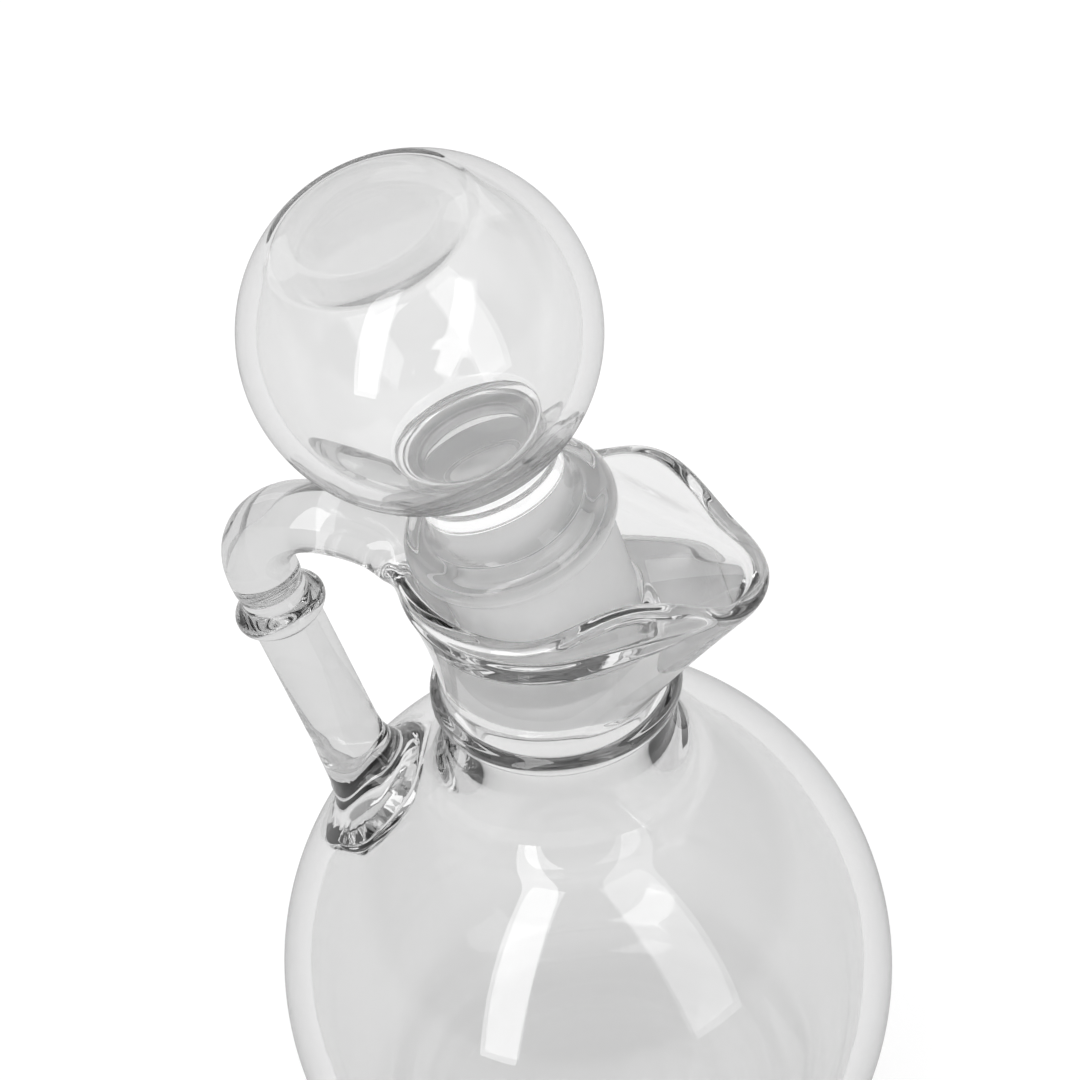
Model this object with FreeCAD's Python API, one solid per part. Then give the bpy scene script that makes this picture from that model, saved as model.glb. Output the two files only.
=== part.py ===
"""Clear pressed-glass cruet for oil or vinegar, with a hollow ball stopper leaning in its open mouth.

Frame: millimetres, +Z up, origin on the standing plane under the middle of the base.
The pouring spout points along +X and the handle along -X.
"""
import FreeCAD, Part
import os
from math import acos, asin, atan2, cos, pi, radians, sin, sqrt

V = FreeCAD.Vector
AXIS_Z = V(0, 0, 1)
AXIS_Y = V(0, 1, 0)

# ---- driving dimensions: body ----------------------------------------------------------------
BODY_RADIUS = 37.0          # widest radius of the belly
BELLY_HEIGHT = 30.0         # height of the widest level above the table
SHOULDER_RISE = 40.0        # upper semi-axis of the elliptical shoulder
RING_HEIGHT = 80.0          # middle of the bead round the neck
FLANK_RADIUS = 44.0         # arc of the lower wall, in profile
HEEL_RADIUS = 9.5           # rounding between the lower wall and the foot
STAND_WIDTH = 4.0           # flat ring that the bottle stands on
KICK_DEPTH = 2.0            # hollow under the base
BODY_WALL = 3.2
BASE_THICKNESS = 6.0
INNER_HEEL = 7.5            # rounding inside, between the floor and the lower wall

# ---- driving dimensions: neck, bore and lip ---------------------------------------------------
NECK_RADIUS = 13.2
NECK_WALL = 2.6             # glass round the bore at the neck bead
BEAD_RADIUS = 1.25
NECK_SPREAD = 4.8           # the shoulder's ellipse turns up into the neck this far outside it
BORE_BOTTOM = 4.2           # height of the ground bore's lower edge above the bead
BORE_LENGTH = 9.4
BORE_TAPER = 0.10           # change of diameter per length, for the bore and the plug
THROAT_WIDENING = 0.7       # how much the room under the bore is wider than the bore
THROAT_DEPTH = 2.6          # height of the rounding between the two
MOUTH_HEIGHT = 20.0         # middle of the lip above the bead, on the handle side
LIP_FLARE = 2.0             # middle of the lip outside the neck, on the handle side
LIP_THICKNESS = 2.3
SPOUT_OVERHANG = 11.0       # middle of the lip at the spout's tip, outside the neck
SPOUT_TIP_DROP = 1.8        # how far the tip lies below the lip on the handle side
WING_RISE = 3.8             # how far the lip rises on each side of the spout
WING_PLACE = 11.7           # distance of those crests from the axis, toward the spout
WING_FLARE = 0.3            # outward slope of the lip above its level on the handle side
SPOUT_NOSE = 7.5            # radius of the spout's rounded nose, in plan
SPOUT_ROOT = 3.6            # height above the bead at which the spout leaves the neck
RUN_IN = 1.5                # overlap of the lofted lip and funnel with the round neck and bore

# ---- driving dimensions: handle --------------------------------------------------------------
HANDLE_RADIUS = 4.1         # the round rod
HANDLE_REACH = 33.2         # axis of the bottle to the outermost point of the rod's middle line
HANDLE_TOP = 22.6           # middle of the upper arm above the bead
HANDLE_BEND = 7.4           # bend radius between the arm and the leg
HANDLE_RING_HEIGHT = 7.9    # bead on the rod, above the neck bead
HANDLE_BEAD = 1.35
LEG_FOOT_RADIUS = 24.2      # where the leg's middle meets the shoulder
LEG_FLARE = 1.0             # widening of the leg where it joins the body
ARM_ROOT_INSET = 6.0        # the arm's middle line starts this far inside the lip, and the funnel trims it
ARM_ROOT_DROP = 8.1         # and this far below the top of the arm

# ---- driving dimensions: stopper -------------------------------------------------------------
BALL_RADIUS = 19.2
BALL_WALL = 2.2
WAIST_RADIUS = 8.2
WAIST_FOOT = 1.0            # widening of the waist at the collar
WAIST_HEAD = 1.4            # widening of the waist at the ball
COLLAR_OVERHANG = 1.6       # collar outside the plug
COLLAR_THICKNESS = 4.2
COLLAR_TO_BALL = 29.0       # middle of the collar to the middle of the ball
PLUG_LENGTH = 12.4          # tapered ground part
PILOT_LENGTH = 4.0          # reduced end below the ground part
PILOT_STEP = 0.45
PILOT_ROUND = 1.8
CROWN_RADIUS = 11.2         # ring where the ball ends and its flattened crown begins
CROWN_TOP_RADIUS = 8.4      # flat disc raised in the middle of the crown
CROWN_RISE = 1.0            # height of that disc above the ring
PLUG_CLEARANCE = 0.12       # slack of the plug in the bore when it is pushed home
SEAT_GAP = 0.15             # gap kept where the leaning stopper touches the bottle
LEAN = 14.0                 # degrees between the stopper's axis and the upright
LEAN_HEADING = 17.0         # degrees that the lean turns away from the handle, about +Z

CORNER = 1 - sin(pi / 4)    # distance of a quarter round's middle from its square corner, per radius

# ---- derived values --------------------------------------------------------------------------
SHOULDER_BLEND = NECK_RADIUS + NECK_SPREAD
LIP_RADIUS = NECK_RADIUS + LIP_FLARE
SPOUT_REACH = NECK_RADIUS + SPOUT_OVERHANG
ARM_ROOT_RADIUS = LIP_RADIUS - ARM_ROOT_INSET
BORE_TOP = BORE_BOTTOM + BORE_LENGTH
PLUG_TOP_RADIUS = NECK_RADIUS - NECK_WALL
COLLAR_RADIUS = PLUG_TOP_RADIUS + COLLAR_OVERHANG
PLUG_FOOT_RADIUS = PLUG_TOP_RADIUS - PLUG_LENGTH * BORE_TAPER / 2
PILOT_RADIUS = PLUG_FOOT_RADIUS - PILOT_STEP
BORE_TOP_RADIUS = PLUG_FOOT_RADIUS + BORE_LENGTH * BORE_TAPER / 2 + PLUG_CLEARANCE
BORE_BOTTOM_RADIUS = PLUG_FOOT_RADIUS + PLUG_CLEARANCE


def ring_level(height):
    """Absolute height of something measured from the neck bead."""
    return RING_HEIGHT + height


def revolve(points_to_edges):
    """Solid of revolution about Z from a closed chain of edges in the XZ plane."""
    face = Part.Face(Part.Wire(points_to_edges))
    return face.revolve(V(0, 0, 0), AXIS_Z, 360)


def line(a, b):
    return Part.LineSegment(V(a[0], 0, a[1]), V(b[0], 0, b[1])).toShape()


def arc(a, m, b):
    return Part.Arc(V(a[0], 0, a[1]), V(m[0], 0, m[1]), V(b[0], 0, b[1])).toShape()


def dome(radius, foot, rise):
    """Arc from the axis to radius, with its centre on the axis, so that it turns into a spherical cap."""
    bow = (radius ** 2 + rise ** 2) / (2 * rise)
    half = asin(radius / bow) / 2
    middle = (bow * sin(half), foot + rise - bow * (1 - cos(half)))
    return arc((0, foot + rise), middle, (radius, foot))


def spline(points, start=None, end=None):
    curve = Part.BSplineCurve()
    knots = [V(x, 0, z) for x, z in points]
    if start:
        curve.interpolate(knots, InitialTangent=V(start[0], 0, start[1]), FinalTangent=V(end[0], 0, end[1]))
    else:
        curve.interpolate(knots)
    return curve.toShape()


# ---- body -------------------------------------------------------------------------------------
def shoulder_point(radius, inset):
    """Point of the elliptical shoulder, moved inward by the wall."""
    a = BODY_RADIUS - inset
    b = SHOULDER_RISE - inset
    return radius, BELLY_HEIGHT + b * sqrt(1 - (radius / a) ** 2)


def shoulder_slope(radius, inset):
    """Rise over run of the shoulder's profile there."""
    a = BODY_RADIUS - inset
    b = SHOULDER_RISE - inset
    return -b * radius / (a * a * sqrt(1 - (radius / a) ** 2))


def shoulder_edge(inset, top_radius):
    """Elliptical arc from the widest level up to top_radius."""
    a = BODY_RADIUS - inset
    b = SHOULDER_RISE - inset
    top = shoulder_point(top_radius, inset)
    middle = acos(top_radius / a) / 2
    points = [(a, BELLY_HEIGHT)]
    for share in (0.5, 1.0, 1.5):
        angle = middle * share
        points.append((a * cos(angle), BELLY_HEIGHT + b * sin(angle)))
    points.append(top)
    return spline(points, (0, 1), (-1, -shoulder_slope(top_radius, inset)))


def lower_edges(inset, floor, heel):
    """Lower wall and heel: edges from the floor's flat to the widest level, and the flat's radius."""
    bow = FLANK_RADIUS - inset
    centre_x = BODY_RADIUS - inset - bow
    heel_z = floor + heel
    reach = sqrt((bow - heel) ** 2 - (heel_z - BELLY_HEIGHT) ** 2)
    heel_x = centre_x + reach
    angle = atan2(heel_z - BELLY_HEIGHT, reach)
    tangent = (heel_x + heel * cos(angle), heel_z + heel * sin(angle))
    middle_angle = (angle - pi / 2) / 2
    heel_middle = (heel_x + heel * cos(middle_angle), heel_z + heel * sin(middle_angle))
    flank_middle = (centre_x + bow * cos(angle / 2), BELLY_HEIGHT + bow * sin(angle / 2))
    edges = [arc((heel_x, floor), heel_middle, tangent),
             arc(tangent, flank_middle, (BODY_RADIUS - inset, BELLY_HEIGHT))]
    return edges, heel_x


def body_outside():
    """Outer form of the belly, shoulder and neck, as a solid."""
    lower, foot_radius = lower_edges(0.0, 0.0, HEEL_RADIUS)
    kick_radius = foot_radius - STAND_WIDTH
    blend = shoulder_point(SHOULDER_BLEND, 0.0)
    neck_foot = (NECK_RADIUS, ring_level(-BEAD_RADIUS))
    neck_top = (NECK_RADIUS, ring_level(SPOUT_ROOT + 2 * RUN_IN))
    edges = [dome(kick_radius, 0.0, KICK_DEPTH),
             line((kick_radius, 0), (foot_radius, 0))]
    edges += lower
    edges += [shoulder_edge(0.0, SHOULDER_BLEND),
              spline([blend, neck_foot], (-1, -shoulder_slope(SHOULDER_BLEND, 0.0)), (0, 1)),
              line(neck_foot, neck_top),
              line(neck_top, (0, neck_top[1])),
              line((0, neck_top[1]), (0, KICK_DEPTH))]
    return revolve(edges)


def body_inside():
    """Room inside the belly and neck, with the ground bore on top."""
    lower, floor_radius = lower_edges(BODY_WALL, BASE_THICKNESS, INNER_HEEL)
    blend_radius = SHOULDER_BLEND - BODY_WALL
    blend = shoulder_point(blend_radius, BODY_WALL)
    throat = (BORE_BOTTOM_RADIUS + THROAT_WIDENING, ring_level(BORE_BOTTOM - THROAT_DEPTH))
    lip = (BORE_BOTTOM_RADIUS, ring_level(BORE_BOTTOM))
    rounding = (lip[0] + THROAT_WIDENING * CORNER, lip[1] - THROAT_DEPTH * (1 - CORNER))
    top = (BORE_TOP_RADIUS + RUN_IN * BORE_TAPER / 2, ring_level(BORE_TOP + RUN_IN))
    edges = [line((0, BASE_THICKNESS), (floor_radius, BASE_THICKNESS))] + lower
    edges += [shoulder_edge(BODY_WALL, blend_radius),
              spline([blend, throat], (-1, -shoulder_slope(blend_radius, BODY_WALL)), (0, 1)),
              arc(throat, rounding, lip),
              line(lip, top),
              line(top, (0, top[1])),
              line((0, top[1]), (0, BASE_THICKNESS))]
    return revolve(edges)


# ---- lip and spout ----------------------------------------------------------------------------
def teardrop_radius(angle, side, reach, nose):
    """Plan outline of the mouth: a circle with a nose drawn out to reach, joined by straight flanks."""
    nose = min(nose, side)
    centre = reach - nose
    angle = abs(angle)
    if centre < 1e-6:
        return side
    touch = acos((side - nose) / centre)
    if angle >= touch:
        return side
    touch_nose = atan2(nose * sin(touch), centre + nose * cos(touch))
    if angle >= touch_nose:
        return side / cos(angle - touch)
    return centre * cos(angle) + sqrt(nose * nose - (centre * sin(angle)) ** 2)


def teardrop_wire(side, reach, nose, height):
    count = 48
    points = []
    for index in range(count):
        angle = -pi + 2 * pi * index / count
        radius = teardrop_radius(angle, side, reach, nose)
        points.append(V(radius * cos(angle), radius * sin(angle), height))
    curve = Part.BSplineCurve()
    curve.interpolate(points, PeriodicFlag=True)
    return Part.Wire(curve.toShape())


def loft(sections):
    """Smooth solid through teardrop sections (side radius, reach, nose radius, height above the bead)."""
    wires = [teardrop_wire(side, reach, nose, ring_level(height)) for side, reach, nose, height in sections]
    return Part.makeLoft(wires, True, False)


def mixed(a, b, share):
    return a + (b - a) * share


def wing_spread(height):
    """Extra radius of the lip above its level on the handle side."""
    return WING_FLARE * max(height - MOUTH_HEIGHT, 0.0)


def lip_outside():
    """Flaring outer form of the lip and spout, taller than the finished lip."""
    outer_side = LIP_RADIUS + LIP_THICKNESS / 2
    tip_height = MOUTH_HEIGHT - SPOUT_TIP_DROP
    tip_reach = SPOUT_REACH + LIP_THICKNESS / 2
    rise = tip_height - SPOUT_ROOT
    sections = [(NECK_RADIUS - RUN_IN / 3, NECK_RADIUS - RUN_IN / 3, NECK_RADIUS, SPOUT_ROOT - RUN_IN)]
    for share in (0.25, 0.5, 0.75, 1.0, 1.25, 1.5):
        height = SPOUT_ROOT + rise * share
        flare = min(share, 1.0)
        side = mixed(NECK_RADIUS, outer_side, (flare + 2 * flare * flare) / 3) + wing_spread(height)
        reach = side + (tip_reach - outer_side) * flare
        nose = mixed(side, SPOUT_NOSE + LIP_THICKNESS / 2, flare)
        sections.append((side, reach, nose, height))
    return loft(sections)


def mouth_inside():
    """Funnel from the bore's top out to the inner edge of the lip and along the spout."""
    inner_side = LIP_RADIUS - LIP_THICKNESS / 2
    tip_height = MOUTH_HEIGHT - SPOUT_TIP_DROP
    tip_reach = SPOUT_REACH - LIP_THICKNESS / 2
    rise = tip_height - BORE_TOP
    start = BORE_TOP_RADIUS - RUN_IN * (inner_side - BORE_TOP_RADIUS) / rise
    sections = [(start, start, start, BORE_TOP - RUN_IN)]
    for share in (0.33, 0.67, 1.0, 1.5, 2.0, 2.5):
        height = BORE_TOP + rise * share
        flare = min(share, 1.0)
        side = mixed(BORE_TOP_RADIUS, inner_side, flare) + wing_spread(height)
        reach = side + (tip_reach - inner_side) * flare
        nose = mixed(side, SPOUT_NOSE - LIP_THICKNESS / 2, flare)
        sections.append((side, reach, nose, height))
    return loft(sections)


def lip_rise(along):
    """Height of the lip over its level on the handle side, by distance toward the spout."""
    if along <= 0:
        return 0.0
    if along <= WING_PLACE:
        return WING_RISE * (1 - cos(pi * along / WING_PLACE)) / 2
    share = min((along - WING_PLACE) / (SPOUT_REACH - WING_PLACE), 1.0)
    return mixed(WING_RISE, -SPOUT_TIP_DROP, (1 - cos(pi * share)) / 2)


def lip_trim():
    """Block whose wavy underside gives the lip its height: level at the handle, raised beside the spout."""
    level = ring_level(MOUTH_HEIGHT + LIP_THICKNESS / 2)
    far = 2 * SPOUT_REACH
    roof = level + SPOUT_REACH
    steps = 12
    stations = [SPOUT_REACH * index / steps for index in range(steps + 1)]
    tip = level + lip_rise(SPOUT_REACH)
    wave = spline([(along, level + lip_rise(along)) for along in stations], (1, 0), (1, 0))
    edges = [line((-far, level), (0, level)), wave, line((SPOUT_REACH, tip), (far, tip)),
             line((far, tip), (far, roof)), line((far, roof), (-far, roof)),
             line((-far, roof), (-far, level))]
    face = Part.Face(Part.Wire(edges))
    face.translate(V(0, -far, 0))
    return face.extrude(V(0, 2 * far, 0))


# ---- handle -----------------------------------------------------------------------------------
def handle():
    """Round rod: a rising arm, a bend and a straight leg that slants in to the shoulder, with a bead."""
    root = V(-ARM_ROOT_RADIUS, 0, ring_level(HANDLE_TOP - ARM_ROOT_DROP))
    centre = V(-(HANDLE_REACH - HANDLE_BEND), 0, ring_level(HANDLE_TOP - HANDLE_BEND))
    foot_x, foot_z = shoulder_point(LEG_FOOT_RADIUS, 0.0)
    foot = V(-foot_x, 0, foot_z)
    to_foot = foot.sub(centre)
    slant = atan2(to_foot.x, -to_foot.z) + asin(HANDLE_BEND / to_foot.Length)
    leg_axis = V(sin(slant), 0, -cos(slant))

    def on_bend(angle):
        """Point of the bend, by the angle turned since the top of the arm."""
        return centre.add(V(-HANDLE_BEND * sin(angle), 0, HANDLE_BEND * cos(angle)))

    elbow = on_bend(pi / 2 + slant)
    arm_start = V(-1, 0, 2 * ARM_ROOT_DROP / (root.x - centre.x))
    arm = spline([(root.x, root.z), (centre.x, centre.z + HANDLE_BEND)], (-1, arm_start.z), (-1, 0))
    bend = Part.Arc(on_bend(0), on_bend((pi / 2 + slant) / 2), elbow).toShape()
    profile = Part.Wire(Part.makeCircle(HANDLE_RADIUS, root, arm_start))
    upper = Part.Wire([arm, bend]).makePipeShell([profile], True, True)
    leg_length = foot.sub(elbow).Length + 2 * BODY_WALL
    leg = Part.makeCylinder(HANDLE_RADIUS, leg_length, elbow, leg_axis)
    ring_along = (elbow.z - ring_level(HANDLE_RING_HEIGHT)) / cos(slant)
    bead = Part.makeTorus(HANDLE_RADIUS, HANDLE_BEAD, elbow.add(V(leg_axis).multiply(ring_along)), leg_axis)
    flare_length = 2 * HANDLE_RADIUS + 2 * BODY_WALL
    flare_start = elbow.add(V(leg_axis).multiply(leg_length - flare_length))
    flare = Part.makeCone(HANDLE_RADIUS, HANDLE_RADIUS + LEG_FLARE, flare_length, flare_start, leg_axis)
    return upper.fuse([leg, bead, flare])


def bottle():
    outside = body_outside().fuse(lip_outside())
    bead = Part.makeTorus(NECK_RADIUS, BEAD_RADIUS, V(0, 0, RING_HEIGHT), AXIS_Z)
    outside = outside.fuse(bead).cut(lip_trim())
    whole = outside.fuse(handle()).cut(body_inside()).cut(mouth_inside())
    return whole.removeSplitter()


# ---- stopper ----------------------------------------------------------------------------------
def stopper_levels():
    """Distances along the stopper's own axis, from the end of the pilot."""
    plug = PILOT_LENGTH
    collar_low = plug + PLUG_LENGTH
    collar = collar_low + COLLAR_THICKNESS / 2
    return plug, collar_low, collar, collar + COLLAR_TO_BALL


def stopper_outside():
    """Plug with its reduced round end, rolled collar, waist and ball with a flattened crown."""
    plug, collar_low, collar, ball = stopper_levels()
    collar_top = collar_low + COLLAR_THICKNESS
    pilot_flat = PILOT_RADIUS - PILOT_ROUND
    waist_foot = (WAIST_RADIUS + WAIST_FOOT, collar_top)
    join_radius = WAIST_RADIUS + WAIST_HEAD
    join = (join_radius, ball - sqrt(BALL_RADIUS ** 2 - join_radius ** 2))
    waist = (WAIST_RADIUS, (collar_top + join[1]) / 2)
    crown_z = ball + sqrt(BALL_RADIUS ** 2 - CROWN_RADIUS ** 2)
    edges = [line((0, 0), (pilot_flat, 0)),
             arc((pilot_flat, 0), (PILOT_RADIUS - PILOT_ROUND * CORNER, PILOT_ROUND * CORNER),
                 (PILOT_RADIUS, PILOT_ROUND)),
             line((PILOT_RADIUS, PILOT_ROUND), (PILOT_RADIUS, plug)),
             line((PILOT_RADIUS, plug), (PLUG_FOOT_RADIUS, plug)),
             line((PLUG_FOOT_RADIUS, plug), (PLUG_TOP_RADIUS, collar_low)),
             arc((PLUG_TOP_RADIUS, collar_low), (COLLAR_RADIUS, collar), (PLUG_TOP_RADIUS, collar_top)),
             line((PLUG_TOP_RADIUS, collar_top), waist_foot),
             arc(waist_foot, waist, join),
             arc(join, (BALL_RADIUS, ball), (CROWN_RADIUS, crown_z)),
             line((CROWN_RADIUS, crown_z), (CROWN_TOP_RADIUS, crown_z + CROWN_RISE)),
             line((CROWN_TOP_RADIUS, crown_z + CROWN_RISE), (0, crown_z + CROWN_RISE)),
             line((0, crown_z + CROWN_RISE), (0, 0))]
    return revolve(edges)


def stopper_inside():
    """Sealed hollow of the ball, flat under the crown; the waist and the plug are solid."""
    ball = stopper_levels()[3]
    room = BALL_RADIUS - BALL_WALL
    crown_z = ball + sqrt(BALL_RADIUS ** 2 - CROWN_RADIUS ** 2)
    roof_z = crown_z - BALL_WALL
    roof_radius = sqrt(room ** 2 - (roof_z - ball) ** 2)
    edges = [arc((0, ball - room), (room, ball), (roof_radius, roof_z)),
             line((roof_radius, roof_z), (0, roof_z)),
             line((0, roof_z), (0, ball - room))]
    return revolve(edges)


def seat(lean):
    """Place of the pilot's end, in the plane of the lean, for a stopper caught in the bore's mouth.

    The rounded corner of the pilot touches the bore's wall on one side and the ground flank touches
    the edge of the bore's mouth on the other, each with SEAT_GAP. Each pass settles both places.
    """
    mouth = ring_level(BORE_TOP)
    along = PILOT_LENGTH
    end_z = mouth - along
    for _ in range(30):
        corner_z = end_z + PILOT_ROUND * cos(lean) + PILOT_RADIUS * sin(lean)
        wall = BORE_TOP_RADIUS - (mouth - corner_z) * BORE_TAPER / 2
        end_x = wall - SEAT_GAP + PILOT_ROUND * sin(lean) - PILOT_RADIUS * cos(lean)
        flank = PLUG_FOOT_RADIUS + (along - PILOT_LENGTH) * BORE_TAPER / 2
        across = mouth * sin(lean) - BORE_TOP_RADIUS * cos(lean) + flank + SEAT_GAP
        end_z = (across - end_x * cos(lean)) / sin(lean)
        along = (BORE_TOP_RADIUS + end_x) * sin(lean) + (mouth - end_z) * cos(lean)
    return end_x, end_z


def stopper():
    """Stopper caught slanting in the bore's mouth, leaning toward the handle."""
    shape = stopper_outside().cut(stopper_inside())
    shape.rotate(V(0, 0, 0), AXIS_Y, -LEAN)
    end_x, end_z = seat(radians(LEAN))
    shape.translate(V(end_x, 0, end_z))
    shape.rotate(V(0, 0, 0), AXIS_Z, LEAN_HEADING)
    return shape


os.makedirs("parts", exist_ok=True)
bottle().exportStep("parts/bottle.step")
stopper().exportStep("parts/stopper.step")
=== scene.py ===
"""Looks of the pressed-glass cruet.

The bottle and its stopper are glass meshes lathed and blended from the same sizes as the solids.
A camera above the spout's side looks down at them in a white studio.
"""

import math

import bmesh
import bpy
import numpy as np
from mathutils import Matrix, Vector


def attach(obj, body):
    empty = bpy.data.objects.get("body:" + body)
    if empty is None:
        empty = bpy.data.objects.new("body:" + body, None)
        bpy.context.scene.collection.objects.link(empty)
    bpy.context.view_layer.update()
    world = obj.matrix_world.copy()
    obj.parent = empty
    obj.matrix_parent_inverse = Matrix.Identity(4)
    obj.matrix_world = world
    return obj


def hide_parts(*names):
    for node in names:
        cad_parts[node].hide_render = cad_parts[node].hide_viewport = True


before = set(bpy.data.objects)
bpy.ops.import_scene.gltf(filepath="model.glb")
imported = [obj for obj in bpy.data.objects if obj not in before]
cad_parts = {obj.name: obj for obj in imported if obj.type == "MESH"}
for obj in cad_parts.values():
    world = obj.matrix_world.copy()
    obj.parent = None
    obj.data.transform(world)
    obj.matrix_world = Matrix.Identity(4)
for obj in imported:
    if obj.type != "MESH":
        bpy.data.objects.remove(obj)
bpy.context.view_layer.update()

MM = 0.001
pi = math.pi

# ---- sizes, in millimetres, as in the CAD part --------------------------------------------------
BODY_RADIUS, BELLY_HEIGHT, SHOULDER_RISE, RING_HEIGHT = 37.0, 30.0, 40.0, 80.0
FLANK_RADIUS, HEEL_RADIUS, STAND_WIDTH, KICK_DEPTH = 44.0, 9.5, 4.0, 2.0
BODY_WALL, BASE_THICKNESS, INNER_HEEL = 3.2, 6.0, 7.5
NECK_RADIUS, NECK_WALL, BEAD_RADIUS, NECK_SPREAD = 13.2, 2.6, 1.25, 4.8
BORE_BOTTOM, BORE_LENGTH, BORE_TAPER = 4.2, 9.4, 0.10
THROAT_WIDENING, THROAT_DEPTH = 0.7, 2.6
MOUTH_HEIGHT, LIP_FLARE, LIP_THICKNESS = 20.0, 2.0, 2.3
SPOUT_OVERHANG, SPOUT_TIP_DROP, SPOUT_NOSE, SPOUT_ROOT = 11.0, 1.8, 7.5, 3.6
WING_RISE, WING_PLACE, WING_FLARE = 3.8, 11.7, 0.3
HANDLE_RADIUS, HANDLE_REACH, HANDLE_TOP, HANDLE_BEND = 4.1, 33.2, 22.6, 7.4
HANDLE_RING_HEIGHT, HANDLE_BEAD, LEG_FOOT_RADIUS = 7.9, 1.35, 24.2
ARM_ROOT_INSET, ARM_ROOT_DROP = 6.0, 8.1
BALL_RADIUS, BALL_WALL = 19.2, 2.2
CROWN_RADIUS, CROWN_TOP_RADIUS, CROWN_RISE = 11.2, 8.4, 1.0
WAIST_RADIUS, WAIST_FOOT, WAIST_HEAD = 8.2, 1.0, 1.4
COLLAR_OVERHANG, COLLAR_THICKNESS, COLLAR_TO_BALL = 1.6, 4.2, 29.0
PLUG_LENGTH, PILOT_LENGTH, PILOT_STEP, PILOT_ROUND = 12.4, 4.0, 0.45, 1.8
PLUG_CLEARANCE, SEAT_GAP = 0.12, 0.15
LEAN, LEAN_HEADING = 14.0, 17.0

SHOULDER_BLEND = NECK_RADIUS + NECK_SPREAD
LIP_RADIUS = NECK_RADIUS + LIP_FLARE
SPOUT_REACH = NECK_RADIUS + SPOUT_OVERHANG
ARM_ROOT_RADIUS = LIP_RADIUS - ARM_ROOT_INSET
BORE_TOP = BORE_BOTTOM + BORE_LENGTH
PLUG_TOP_RADIUS = NECK_RADIUS - NECK_WALL
PLUG_FOOT_RADIUS = PLUG_TOP_RADIUS - PLUG_LENGTH * BORE_TAPER / 2
PILOT_RADIUS = PLUG_FOOT_RADIUS - PILOT_STEP
BORE_TOP_RADIUS = PLUG_FOOT_RADIUS + BORE_LENGTH * BORE_TAPER / 2 + PLUG_CLEARANCE
BORE_BOTTOM_RADIUS = PLUG_FOOT_RADIUS + PLUG_CLEARANCE
COLLAR_RADIUS = PLUG_TOP_RADIUS + COLLAR_OVERHANG
TIP_HEIGHT = MOUTH_HEIGHT - SPOUT_TIP_DROP
PLUG_FOOT = PILOT_LENGTH
COLLAR_LOW = PLUG_FOOT + PLUG_LENGTH
COLLAR_MIDDLE = COLLAR_LOW + COLLAR_THICKNESS / 2
BALL_CENTRE = COLLAR_MIDDLE + COLLAR_TO_BALL
WAIST_TOP_RADIUS = WAIST_RADIUS + WAIST_HEAD
WAIST_TOP = BALL_CENTRE - math.sqrt(BALL_RADIUS ** 2 - WAIST_TOP_RADIUS ** 2)

# ---- fineness of the meshes, in millimetres -----------------------------------------------------
COLUMNS = 192               # columns of the bottle's grid, round the axis
STOPPER_COLUMNS = 160
ROD_SIDES = 56
FINE = 0.12                 # step of a profile before it is thinned
MAX_STEP, MAX_TURN = 1.5, math.radians(5)
BOTTLE_SOFT = 0.34          # rounding of the bottle's corners


# ---- profile curves -----------------------------------------------------------------------------
def circle_run(centre, radius, start, end):
    """Arc between two angles, at the fine step."""
    count = max(int(abs(end - start) * radius / FINE), 3)
    angles = np.linspace(start, end, count)
    return np.stack([centre[0] + radius * np.cos(angles), centre[1] + radius * np.sin(angles)], 1)


def straight_run(a, b):
    """Line from a to b, at the fine step."""
    count = max(int(math.dist(a, b) / FINE), 2)
    share = np.linspace(0, 1, count)[:, None]
    return np.array(a) * (1 - share) + np.array(b) * share


def hermite_run(a, ta, b, tb):
    """Cubic from a to b with those end tangents, at the fine step."""
    length = math.dist(a, b)
    a, b = np.array(a, float), np.array(b, float)
    ta = np.array(ta, float) / np.linalg.norm(ta) * length
    tb = np.array(tb, float) / np.linalg.norm(tb) * length
    t = np.linspace(0, 1, max(int(length * 1.2 / FINE), 3))[:, None]
    return ((2 * t**3 - 3 * t**2 + 1) * a + (t**3 - 2 * t**2 + t) * ta
            + (3 * t**2 - 2 * t**3) * b + (t**3 - t**2) * tb)


def joined(runs):
    """One list of points from runs that meet end to end."""
    parts = [runs[0]]
    for run in runs[1:]:
        parts.append(run[1:])
    return np.concatenate(parts)


def evened(points):
    """The same curve with points at the fine step."""
    steps = np.linalg.norm(np.diff(points, axis=0), axis=1)
    along = np.concatenate([[0], np.cumsum(steps)])
    count = int(along[-1] / FINE) + 1
    targets = np.linspace(0, along[-1], count)
    return np.stack([np.interp(targets, along, points[:, k]) for k in range(points.shape[1])], 1)


def softened(points, radius):
    """Rounds the corners of evened curves by about radius; the run is the last axis but one."""
    sigma = radius / FINE
    reach = int(3 * sigma) + 1
    kernel = np.exp(-0.5 * (np.arange(-reach, reach + 1) / sigma) ** 2)
    kernel /= kernel.sum()
    first, last = points[..., :1, :], points[..., -1:, :]
    before = 2 * first - points[..., reach:0:-1, :]
    after = 2 * last - points[..., -2:-reach - 2:-1, :]
    padded = np.concatenate([before, points, after], axis=-2)
    count = points.shape[-2]
    out = np.zeros_like(points)
    for k, weight in enumerate(kernel):
        out += weight * padded[..., k:k + count, :]
    return out


def lathed(profile, angle):
    """Columns of the profile, a list of radii and heights, at each angle round the axis."""
    radius, height = profile[:, 0], profile[:, 1]
    return np.stack([np.cos(angle)[:, None] * radius, np.sin(angle)[:, None] * radius,
                     np.broadcast_to(height, (len(angle), len(height)))], 2)


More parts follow.
